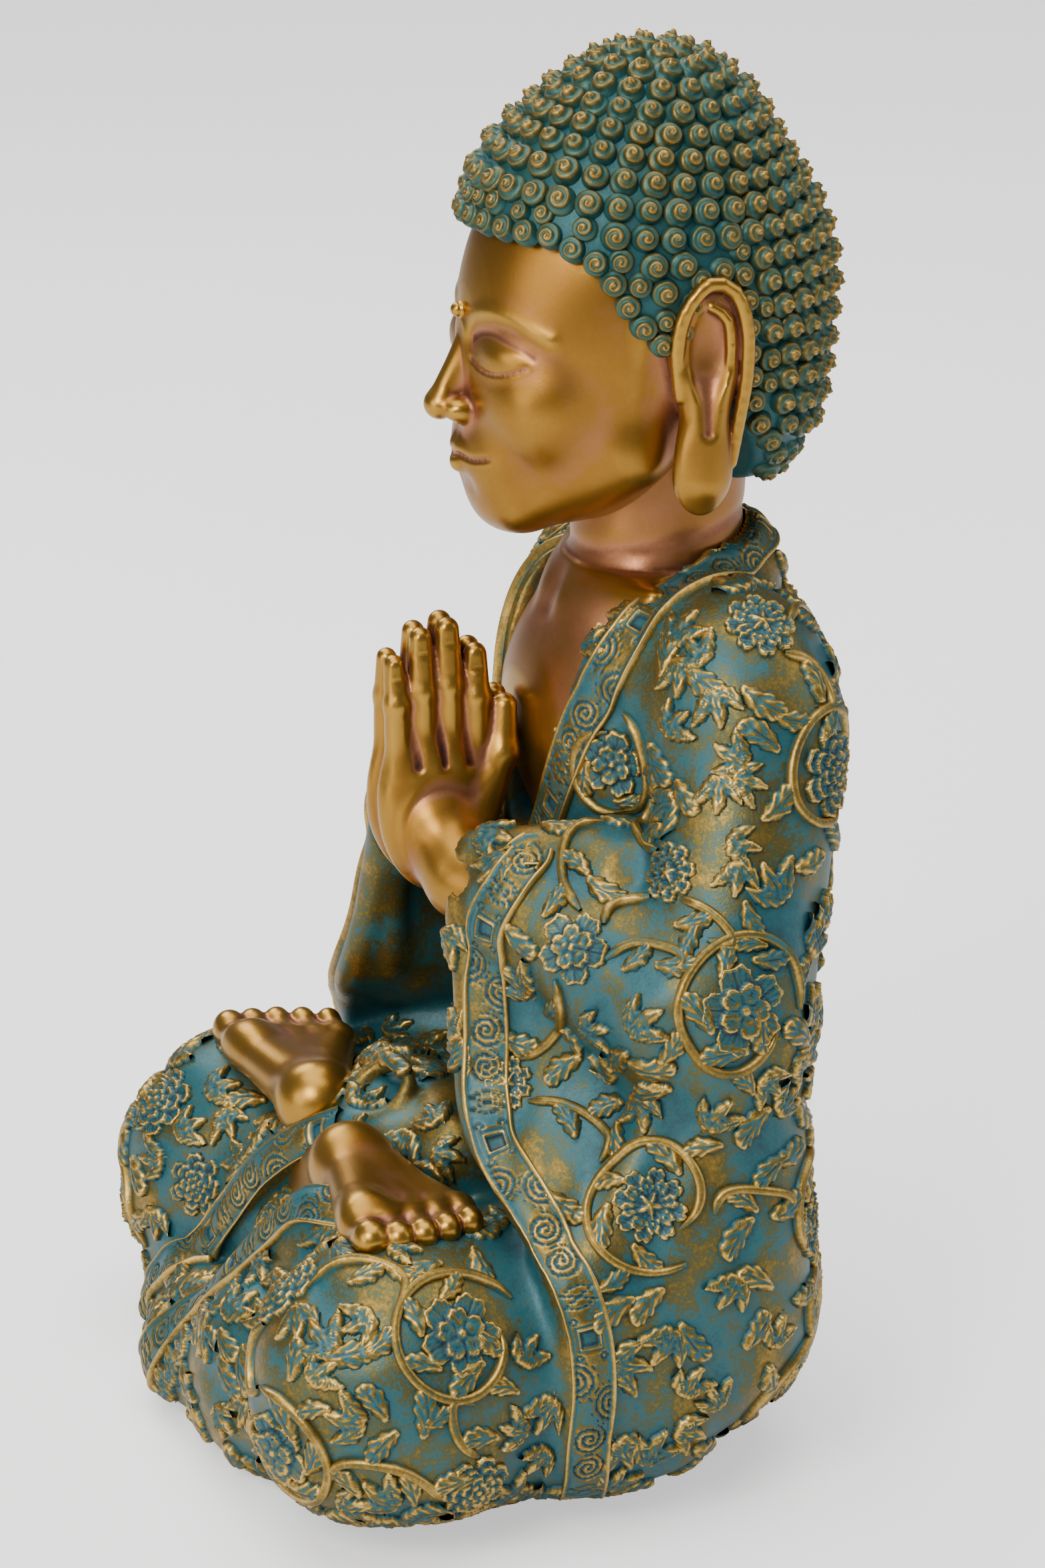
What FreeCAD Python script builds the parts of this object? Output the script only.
import FreeCAD, Part
import Sketcher
import os
import re

# Seated figure with pressed palms, assembled from hollow castings. Millimetres, +Z up, the figure
# faces -Y and its left side is +X. Every form is laid out from the foot of the torso's vertical
# axis; the finished pieces are then set back, so that the origin is the middle of the footprint.

SIZES = {
    # stance
    "figure_height": 400.0,
    "torso_setback": 51.0,
    "wall": 7.0,
    "glue_gap": 0.2,
    "pad_height": 2.0,
    # torso, from the seat to the collar: half width and half depth at each level
    "seat_half_width": 60.0,
    "seat_half_depth": 34.0,
    "hip_level": 44.0,
    "hip_half_width": 80.0,
    "hip_half_depth": 37.0,
    "waist_level": 130.0,
    "waist_half_width": 60.0,
    "waist_half_depth": 34.0,
    "shoulder_level": 212.0,
    "shoulder_half_width": 66.0,
    "shoulder_half_depth": 32.0,
    "collar_level": 256.0,
    "collar_half_width": 31.0,
    "collar_half_depth": 26.0,
    "arm_across": 52.0,
    "arm_back": 8.0,
    "arm_level": 192.0,
    "arm_half_width": 31.0,
    "arm_half_depth": 27.0,
    "arm_half_height": 52.0,
    # crossed legs
    "thigh_across": 68.0,
    "thigh_front": 60.0,
    "thigh_level": 40.0,
    "thigh_half_width": 43.0,
    "thigh_half_length": 86.0,
    "thigh_half_height": 47.0,
    "thigh_turn": 12.0,
    "shin_front": 106.0,
    "shin_level": 40.0,
    "shin_half_width": 74.0,
    "shin_half_depth": 42.0,
    "shin_half_height": 44.0,
    "lap_front": 62.0,
    "lap_half_width": 82.0,
    "lap_half_depth": 74.0,
    "lap_half_height": 60.0,
    # sleeves
    "elbow_across": 78.0,
    "elbow_front": 14.0,
    "elbow_level": 146.0,
    "elbow_half_width": 28.0,
    "elbow_half_depth": 33.0,
    "elbow_half_height": 42.0,
    "cuff_across": 62.0,
    "cuff_front": 48.0,
    "cuff_level": 158.0,
    "cuff_half_length": 42.0,
    "cuff_radius": 23.0,
    "cuff_turn": 40.0,
    "drape_across": 82.0,
    "drape_front": 36.0,
    "drape_level": 92.0,
    "drape_half_width": 31.0,
    "drape_half_depth": 43.0,
    "drape_half_height": 66.0,
    # bust, head and hair
    "chest_front": 8.0,
    "chest_level": 204.0,
    "chest_half_width": 55.0,
    "chest_half_depth": 34.0,
    "chest_half_height": 51.0,
    "neck_foot": 232.0,
    "neck_top": 290.0,
    "neck_foot_radius": 31.0,
    "neck_radius": 24.0,
    "skull_front": 10.0,
    "skull_level": 327.0,
    "skull_half_width": 41.0,
    "skull_half_depth": 48.0,
    "skull_half_height": 50.0,
    "jaw_front": 32.0,
    "jaw_level": 304.0,
    "jaw_half_width": 31.0,
    "jaw_half_depth": 29.0,
    "jaw_half_height": 37.0,
    "ear_across": 43.0,
    "ear_front": 3.0,
    "ear_level": 309.0,
    "ear_half_width": 6.0,
    "ear_half_depth": 11.0,
    "ear_half_height": 35.0,
    "skull_hollow_lift": 3.5,
    "skull_hollow_roof": 10.5,
    "hair_thickness": 6.0,
    "hair_front": 8.0,
    "dome_front": 4.0,
    "hairline_front": 56.0,
    "hairline_level": 354.0,
    "hairline_slope": 38.0,
    "dome_half_width": 27.0,
    "dome_half_depth": 28.0,
    "dome_half_height": 27.0,
    "urna_radius": 2.6,
    "urna_sink": 1.0,
    "urna_level": 338.0,
    # hands and feet
    "palm_front": 69.0,
    "palm_level": 202.0,
    "palm_across": 6.5,
    "palm_half_width": 9.1,
    "palm_half_depth": 17.0,
    "palm_half_height": 38.0,
    "wrist_across": 26.0,
    "wrist_front": 64.0,
    "wrist_level": 167.0,
    "wrist_half_length": 34.0,
    "wrist_radius": 12.0,
    "wrist_rise": 24.0,
    "foot_across": 44.0,
    "foot_front": 98.0,
    "foot_level": 87.0,
    "foot_half_length": 36.0,
    "foot_half_width": 15.0,
    "foot_half_height": 11.0,
    "toe_across": 84.0,
    "toe_half_length": 13.0,
    "toe_half_row": 18.0,
    "toe_half_height": 7.5,
    "toe_level": 90.0,
    # pins, base plate, plug and pads
    "neck_dowel_radius": 6.0,
    "neck_dowel_length": 44.0,
    "neck_dowel_foot": 262.0,
    "pin_radius": 3.0,
    "pin_length": 26.0,
    "pin_chamfer": 0.8,
    "plate_width": 92.0,
    "plate_depth": 92.0,
    "plate_thickness": 4.0,
    "plate_corner": 12.0,
    "opening_margin": 8.0,
    "floor_level": 12.0,
    "plug_radius": 12.0,
    "plug_flange": 2.5,
    "plug_flange_height": 1.2,
    "plug_length": 9.0,
    "pad_radius": 8.0,
    "front_pad_across": 40.0,
    "front_pad_front": 66.0,
    "back_pad_across": 34.0,
    "back_pad_back": 50.0,
}
SIDES = {"left": 1, "right": -1}
UP = FreeCAD.Vector(0, 0, 1)
FORWARD = FreeCAD.Vector(0, -1, 0)
ACROSS = FreeCAD.Vector(1, 0, 0)
OUT_AND_BACK = FreeCAD.Vector(-1, -1, 0)    # the level axis that a wrist pin is laid down about
QUARTER_TURN = 90.0
FULL_TURN = 360.0
ROOM = 600.0    # side of the blocks that trim a form; larger than the figure
DRAWN = 30.0    # size at which an outline is drawn before its dimensions drive it
UPRIGHT = 1.0   # rise that tells an upright edge from a level one

doc = FreeCAD.newDocument("seated_figure")
sheet = doc.addObject("Spreadsheet::Sheet", "sizes")
for row, (name, value) in enumerate(SIZES.items(), 1):
    sheet.set(f"A{row}", name)
    sheet.set(f"B{row}", str(value))
    sheet.setAlias(f"B{row}", name)
doc.recompute()


def formula(text):
    """Point each word of a formula at the sheet's cell with that alias."""
    return re.sub(r"[a-z][a-z_]*[a-z]", lambda word: "sizes." + word.group(0), text)


def bind(thing, **formulas):
    """Drive a thing's sizes from the sheet."""
    for property_name, text in formulas.items():
        thing.setExpression(property_name, formula(text))


def put(thing, at, turn=None):
    """Place a thing at three formulas; turn is (axis, formula in degrees)."""
    if turn:
        axis, degrees = turn
        thing.Placement = FreeCAD.Placement(FreeCAD.Vector(), FreeCAD.Rotation(axis, 1.0))
        thing.setExpression("Placement.Rotation.Angle", f"({formula(degrees)}) * 1 deg")
    for letter, text in zip("xyz", at):
        thing.setExpression(f"Placement.Base.{letter}", formula(text))
    return thing


def blob(name, at, radii, turn=None):
    """An ellipsoid; radii are its half width, half depth and half height."""
    thing = doc.addObject("Part::Ellipsoid", name)
    thing.Angle1, thing.Angle2, thing.Angle3 = -QUARTER_TURN, QUARTER_TURN, FULL_TURN
    bind(thing, Radius2=radii[0], Radius3=radii[1], Radius1=radii[2])
    return put(thing, at, turn)


def rod(name, at, radius, length, turn=None):
    """A cylinder that stands on its place, or leans as it is turned."""
    thing = doc.addObject("Part::Cylinder", name)
    bind(thing, Radius=radius, Height=length)
    return put(thing, at, turn)


def block(name, at, sides, turn=None):
    """A box that starts at its place."""
    thing = doc.addObject("Part::Box", name)
    bind(thing, Length=sides[0], Width=sides[1], Height=sides[2])
    return put(thing, at, turn)


def block_below(name, level):
    """A block that fills everything under a level."""
    corner = (f"{-ROOM / 2}", f"{-ROOM / 2}", f"{level} - {ROOM}")
    return block(name, corner, (f"{ROOM}", f"{ROOM}", f"{ROOM}"))


def fuse(name, *things):
    """One solid from several forms."""
    joined = doc.addObject("Part::MultiFuse", name)
    joined.Shapes = list(things)
    return joined


def cut(name, base, *tools):
    """A form less one or more others, one after another."""
    for number, tool in enumerate(tools):
        rest = doc.addObject("Part::Cut", f"{name}_{number + 1}")
        rest.Base = base
        rest.Tool = tool
        base = rest
    return base


def mirror(name, source):
    """A form's mirror image across the figure's middle plane."""
    image = doc.addObject("Part::Mirroring", name)
    image.Source = source
    image.Normal = ACROSS
    return image


def finish(thing, label):
    """Name a finished piece and set it back from the base's middle."""
    thing.Label = label
    put(thing, ("0", "torso_setback", "0"))
    return thing


def origin_plane(body, role):
    """The plane of a body's own origin that plays this role."""
    return next(f for f in body.Origin.OriginFeatures if f.Role == role)


def new_body(name):
    """A PartDesign body whose label is the piece's name."""
    body = doc.addObject("PartDesign::Body", name)
    body.Label = name
    return body


def new_sketch(body, name, role):
    """A sketch on one of the body's origin planes."""
    sketch = body.newObject("Sketcher::SketchObject", name)
    sketch.AttachmentSupport = [(origin_plane(body, role), "")]
    sketch.MapMode = "FlatFace"
    return sketch


def constrain(sketch, text, *terms):
    """Add one dimension to a sketch and drive it from the sheet."""
    which = sketch.addConstraint(Sketcher.Constraint(*terms))
    sketch.setExpression(f"Constraints[{which}]", formula(text))


def add_circle(sketch, radius):
    """A circle around the sketch's origin."""
    number = sketch.addGeometry(Part.Circle(FreeCAD.Vector(), UP, DRAWN))
    sketch.addConstraint(Sketcher.Constraint("Coincident", number, 3, -1, 1))
    constrain(sketch, radius, "Radius", number, DRAWN)


def robe_form():
    """The robe's outer form, without the sleeves: torso, upper arms and crossed legs on a flat seat."""
    levels = ("seat", "hip", "waist", "shoulder", "collar")
    rings = []
    for level in levels:
        ring = doc.addObject("Part::Ellipse", f"{level}_ring")
        bind(ring, MajorRadius=f"{level}_half_width", MinorRadius=f"{level}_half_depth")
        rings.append(put(ring, ("0", "0", "pad_height" if level == "seat" else f"{level}_level")))
    torso = doc.addObject("Part::Loft", "torso_form")
    torso.Sections = rings
    torso.Solid = True
    parts = [torso]
    for side, sign in SIDES.items():
        parts.append(blob(f"{side}_arm_form", (f"{sign} * arm_across", "arm_back", "arm_level"),
                          ("arm_half_width", "arm_half_depth", "arm_half_height")))
        parts.append(blob(f"{side}_thigh_form", (f"{sign} * thigh_across", "-thigh_front", "thigh_level"),
                          ("thigh_half_width", "thigh_half_length", "thigh_half_height"),
                          (UP, f"{sign} * thigh_turn")))
    parts.append(blob("shin_form", ("0", "-shin_front", "shin_level"),
                      ("shin_half_width", "shin_half_depth", "shin_half_height")))
    parts.append(blob("lap_form", ("0", "-lap_front", "pad_height"),
                      ("lap_half_width", "lap_half_depth", "lap_half_height")))
    return cut("robe_form", fuse("robe_blank", *parts), block_below("under_seat", "pad_height"))


def robe_hollows():
    """The forms that together hollow out the slush-cast robe above its floor."""
    forms = [blob("torso_hollow", ("0", "0", "waist_level / 2"),
                  ("waist_half_width - wall", "waist_half_depth - wall", "waist_level / 2"))]
    for side, sign in SIDES.items():
        forms.append(blob(f"{side}_thigh_hollow", (f"{sign} * thigh_across", "-thigh_front", "thigh_level"),
                          ("thigh_half_width - wall", "thigh_half_length - wall",
                           "thigh_half_height - wall"), (UP, f"{sign} * thigh_turn")))
    forms.append(blob("shin_hollow", ("0", "-shin_front", "shin_level"),
                      ("shin_half_width - wall", "shin_half_depth - wall", "shin_half_height - wall")))
    forms.append(blob("lap_hollow", ("0", "-lap_front", "pad_height"),
                      ("lap_half_width - wall", "lap_half_depth - wall", "lap_half_height - wall")))
    floor = block_below("cavity_floor", "floor_level")
    return [cut(f"{form.Name}_above_floor", form, floor) for form in forms]


def underside_opening():
    """The rebate that takes the base plate, and the smaller opening above it."""
    rebate = block("plate_rebate",
                   ("-plate_width / 2 - glue_gap", "-torso_setback - plate_depth / 2 - glue_gap", "0"),
                   ("plate_width + 2 * glue_gap", "plate_depth + 2 * glue_gap",
                    "pad_height + plate_thickness"))
    mouth = block("casting_mouth", ("-plate_width / 2 + opening_margin",
                                    "-torso_setback - plate_depth / 2 + opening_margin", "0"),
                  ("plate_width - 2 * opening_margin", "plate_depth - 2 * opening_margin",
                   "2 * floor_level"))
    return [rebate, mouth]


def bust_form():
    """Neck and bare chest."""
    chest = blob("chest_form", ("0", "-chest_front", "chest_level"),
                 ("chest_half_width", "chest_half_depth", "chest_half_height"))
    neck = doc.addObject("Part::Cone", "neck_form")
    bind(neck, Radius1="neck_foot_radius", Radius2="neck_radius", Height="neck_top - neck_foot")
    put(neck, ("0", "0", "neck_foot"))
    return fuse("bust_form", chest, neck)


def neck_pin_form(name, gap):
    """The neck dowel's own form, or its hole when a gap is given."""
    return rod(name, ("0", "0", "neck_dowel_foot"), f"neck_dowel_radius + {gap}", "neck_dowel_length")


def foot_pin_form(name, gap):
    """An upright pin between the right foot and the lap."""
    return rod(name, ("-foot_across", "-foot_front", "foot_level - pin_length + foot_half_height / 2"),
               f"pin_radius + {gap}", "pin_length")


def wrist_pin_form(name, gap):
    """A pin that runs out sideways from the right wrist into its sleeve."""
    return rod(name, ("-wrist_across - pin_length / 4", "pin_length / 4 - wrist_front", "wrist_level"),
               f"pin_radius + {gap}", "pin_length", (OUT_AND_BACK, f"{QUARTER_TURN}"))


def foot_form():
    """The right foot, sole up; its toes are one rounded form across its end."""
    sole = blob("sole", ("-foot_across", "-foot_front", "foot_level"),
                ("foot_half_length", "foot_half_width", "foot_half_height"))
    toes = blob("toes", ("toe_half_length - toe_across", "-foot_front", "toe_level"),
                ("toe_half_length", "toe_half_row", "toe_half_height"))
    return fuse("foot_form", sole, toes)


def hand_form():
    """The right hand: its palm and fingers as one form, and the wrist that enters the cuff."""
    palm = blob("palm", ("-palm_across", "-palm_front", "palm_level"),
                ("palm_half_width", "palm_half_depth", "palm_half_height"))
    wrist = blob("wrist", ("-wrist_across", "-wrist_front", "wrist_level"),
                 ("wrist_half_length", "wrist_radius", "wrist_radius"), (FORWARD, "-wrist_rise"))
    return fuse("hand_form", palm, wrist)


def sleeve_form(name, less=""):
    """The right sleeve from elbow to cuff, with the cloth that hangs from it; or its hollow, less a wall."""
    elbow = blob(f"{name}_elbow", ("-elbow_across", "-elbow_front", "elbow_level"),
                 (f"elbow_half_width{less}", f"elbow_half_depth{less}", f"elbow_half_height{less}"))
    cuff = blob(f"{name}_cuff", ("-cuff_across", "-cuff_front", "cuff_level"),
                (f"cuff_half_length{less}", f"cuff_radius{less}", f"cuff_radius{less}"), (UP, "-cuff_turn"))
    drape = blob(f"{name}_drape", ("-drape_across", "-drape_front", "drape_level"),
                 (f"drape_half_width{less}", f"drape_half_depth{less}", f"drape_half_height{less}"))
    return fuse(name, elbow, cuff, drape)


def skin_head_form():
    """Skull, jaw and long ears."""
    parts = [blob("skull", ("0", "-skull_front", "skull_level"),
                  ("skull_half_width", "skull_half_depth", "skull_half_height")),
             blob("jaw", ("0", "-jaw_front", "jaw_level"),
                  ("jaw_half_width", "jaw_half_depth", "jaw_half_height"))]
    for side, sign in SIDES.items():
        parts.append(blob(f"{side}_ear", (f"{sign} * ear_across", "-ear_front", "ear_level"),
                          ("ear_half_width", "ear_half_depth", "ear_half_height")))
    return fuse("skin_head_form", *parts)


def hair_form():
    """The cap of curls with its dome, above a plane that falls from the forehead to the nape."""
    cap = blob("hair_cap_form", ("0", "-hair_front", "skull_level + hair_thickness / 2"),
               ("skull_half_width + hair_thickness", "skull_half_depth + hair_thickness",
                "skull_half_height + hair_thickness / 2"))
    dome = blob("hair_dome_form", ("0", "-dome_front", "figure_height - dome_half_height"),
                ("dome_half_width", "dome_half_depth", "dome_half_height"))
    below = block("below_hairline", (f"{-ROOM / 2}", "-hairline_front", "hairline_level"),
                  (f"{ROOM}", f"{ROOM}", f"{ROOM}"), (ACROSS, f"-{QUARTER_TURN} - hairline_slope"))
    return cut("hair_form", fuse("hair_blank", cap, dome), below)


def make_robe(outer, bust, feet, pin_holes):
    """The robe casting: outer form, hollow inside, with seats for the bust and the feet."""
    tools = [*robe_hollows(), *underside_opening(), bust, *feet, *pin_holes]
    return finish(cut("robe_shell_body", outer, *tools), "robe_shell")


def make_base_plate():
    """A plate with rounded corners and a pouring hole, let into the underside."""
    body = new_body("base_plate")
    sketch = new_sketch(body, "plate_outline", "XY_Plane")
    corners = [(-DRAWN, -DRAWN), (DRAWN, -DRAWN), (DRAWN, DRAWN), (-DRAWN, DRAWN)]
    for number, start in enumerate(corners):
        end = corners[(number + 1) % 4]
        sketch.addGeometry(Part.LineSegment(FreeCAD.Vector(*start, 0), FreeCAD.Vector(*end, 0)))
    for number in range(4):
        sketch.addConstraint(Sketcher.Constraint("Coincident", number, 2, (number + 1) % 4, 1))
        sketch.addConstraint(Sketcher.Constraint("Vertical" if number % 2 else "Horizontal", number))
    sketch.addConstraint(Sketcher.Constraint("Symmetric", 0, 1, 2, 1, -1, 1))
    constrain(sketch, "plate_width", "DistanceX", 0, 1, 0, 2, 2 * DRAWN)
    constrain(sketch, "plate_depth", "DistanceY", 1, 1, 1, 2, 2 * DRAWN)
    plate = body.newObject("PartDesign::Pad", "plate")
    plate.Profile = sketch
    bind(plate, Length="plate_thickness")
    doc.recompute()
    upright = [f"Edge{n + 1}" for n, edge in enumerate(plate.Shape.Edges)
               if abs(edge.Vertexes[0].Z - edge.Vertexes[-1].Z) > UPRIGHT]
    rounded = body.newObject("PartDesign::Fillet", "plate_corners")
    rounded.Base = (plate, upright)
    bind(rounded, Radius="plate_corner")
    doc.recompute()
    hole_sketch = new_sketch(body, "pouring_hole_outline", "XY_Plane")
    add_circle(hole_sketch, "plug_radius + glue_gap")
    hole = body.newObject("PartDesign::Pocket", "pouring_hole")
    hole.Profile = hole_sketch
    hole.Type = "ThroughAll"
    hole.Reversed = True
    return put(body, ("0", "0", "pad_height"))


def make_plug():
    """A turned plug with a thin flange inside the plate."""
    body = new_body("filler_plug")
    sketch = new_sketch(body, "plug_outline", "XY_Plane")
    add_circle(sketch, "plug_radius")
    stem = body.newObject("PartDesign::Pad", "plug_stem")
    stem.Profile = sketch
    bind(stem, Length="plug_length")
    flange_sketch = new_sketch(body, "flange_outline", "XY_Plane")
    add_circle(flange_sketch, "plug_radius + plug_flange")
    flange_sketch.setExpression("AttachmentOffset.Base.z", formula("plate_thickness"))
    flange = body.newObject("PartDesign::Pad", "plug_flange")
    flange.Profile = flange_sketch
    bind(flange, Length="plug_flange_height")
    return put(body, ("0", "0", "pad_height"))


def make_dowel():
    """The round dowel between bust and head, chamfered at both ends."""
    body = new_body("neck_dowel")
    sketch = new_sketch(body, "dowel_outline", "XY_Plane")
    add_circle(sketch, "neck_dowel_radius")
    length = body.newObject("PartDesign::Pad", "dowel_length")
    length.Profile = sketch
    bind(length, Length="neck_dowel_length")
    doc.recompute()
    rims = [f"Edge{n + 1}" for n, edge in enumerate(length.Shape.Edges) if edge.isClosed()]
    chamfer = body.newObject("PartDesign::Chamfer", "dowel_ends")
    chamfer.Base = (length, rims)
    bind(chamfer, Size="pin_chamfer")
    return put(body, ("0", "torso_setback", "neck_dowel_foot"))


def make_pads():
    """Four round pads under the rim of the casting."""
    pads = []
    for side, sign in SIDES.items():
        pads.append(rod(f"front_{side}_pad", (f"{sign} * front_pad_across", "-front_pad_front", "0"),
                        "pad_radius", "pad_height"))
        pads.append(rod(f"back_{side}_pad", (f"{sign} * back_pad_across", "back_pad_back", "0"),
                        "pad_radius", "pad_height"))
    group = fuse("pad_group", *pads)
    group.Label = "felt_pads"
    return group


def make_pair(right_form, label):
    """The right piece, and its mirror image as the left one."""
    right = finish(right_form, f"right_{label}")
    left = mirror(f"left_{label}_body", right)
    left.Label = f"left_{label}"
    return [right, left]


def urna_form(name):
    """The bead on the forehead, with the peg that holds it."""
    at = ("0", "urna_sink - skull_front - skull_half_depth", "urna_level")
    bead = blob(f"{name}_bead", at, ("urna_radius", "urna_radius", "urna_radius"))
    peg = rod(f"{name}_peg", at, "urna_radius / 2", "urna_radius * 2", (ACROSS, f"-{QUARTER_TURN}"))
    return fuse(name, bead, peg)


def skull_core():
    """The part of the head that the hair cap is glued over."""
    return blob("skull_core", ("0", "-skull_front", "skull_level"),
                ("skull_half_width - wall / 2", "skull_half_depth - wall / 2",
                 "skull_half_height - wall / 2"))


def make_pieces():
    """Every piece of the assembly."""
    outer, bust, right_hand = robe_form(), bust_form(), hand_form()
    head, hair = skin_head_form(), hair_form()
    hands = fuse("hands_form", right_hand, mirror("left_hand_form", right_hand))
    foot, foot_hole = foot_form(), foot_pin_form("foot_pin_hole", "glue_gap")
    wrist_hole = wrist_pin_form("wrist_pin_hole", "glue_gap")
    neck_hole = neck_pin_form("neck_dowel_hole", "glue_gap")
    pieces = [make_base_plate(), make_plug(), make_dowel(), make_pads()]
    pieces.append(make_robe(outer, bust, [foot, mirror("other_foot_form", foot)],
                            [foot_hole, mirror("other_foot_pin_hole", foot_hole)]))
    sleeve = cut("sleeve_body", sleeve_form("sleeve_form"), outer, right_hand, wrist_hole,
                 sleeve_form("sleeve_hollow", " - wall"))
    pieces += make_pair(sleeve, "sleeve")
    pieces += make_pair(cut("foot_body", foot, foot_hole), "foot")
    chest_hollow = blob("chest_hollow", ("0", "-chest_front", "chest_level"),
                        ("chest_half_width - wall", "chest_half_depth - wall", "chest_half_height - wall"))
    chest_mouth = rod("chest_mouth", ("0", "-chest_front", "chest_level - 2 * chest_half_height"),
                      "chest_half_depth / 2", "2 * chest_half_height")
    pieces.append(finish(cut("bust_body", bust, chest_hollow, chest_mouth, neck_hole), "bust"))
    skull_hollow = blob("skull_hollow", ("0", "-skull_front", "skull_level + skull_hollow_lift"),
                        ("skull_half_width - wall", "skull_half_depth - wall",
                         "skull_half_height - skull_hollow_roof"))
    head_tools = [hair, bust, skull_hollow, neck_hole, urna_form("urna_socket")]
    pieces.append(finish(cut("head_body", head, *head_tools), "head"))
    pieces.append(finish(cut("hair_cap_body", hair, skull_core()), "hair_cap"))
    pieces.append(finish(urna_form("urna_body"), "urna_bead"))
    other_wrist_hole = mirror("other_wrist_pin_hole", wrist_hole)
    pieces.append(finish(cut("praying_hands_body", hands, wrist_hole, other_wrist_hole), "praying_hands"))
    for name, form in (("wrist", wrist_pin_form), ("foot", foot_pin_form)):
        pin = form(f"{name}_pin", "0")
        pair = fuse(f"{name}_pin_group", pin, mirror(f"other_{name}_pin", pin))
        pieces.append(finish(pair, f"{name}_dowels"))
    return pieces


def check_and_write(pieces):
    """Refuse a failed object or an unsound shape; then write one file for each piece."""
    doc.recompute()
    failed = [thing.Name for thing in doc.Objects if {"Invalid", "Error"} & set(thing.State)]
    if failed:
        raise RuntimeError(f"failed objects: {failed}")
    for piece in pieces:
        if piece.Shape.isNull() or not piece.Shape.isValid() or not piece.Shape.Solids:
            raise RuntimeError(f"{piece.Label} has no sound shape")
    os.makedirs("parts", exist_ok=True)
    for piece in pieces:
        piece.Shape.exportStep(f"parts/{piece.Label}.step")
        print(piece.Label, len(piece.Shape.Solids), round(piece.Shape.Volume / 1000, 1), piece.Shape.BoundBox)


check_and_write(make_pieces())
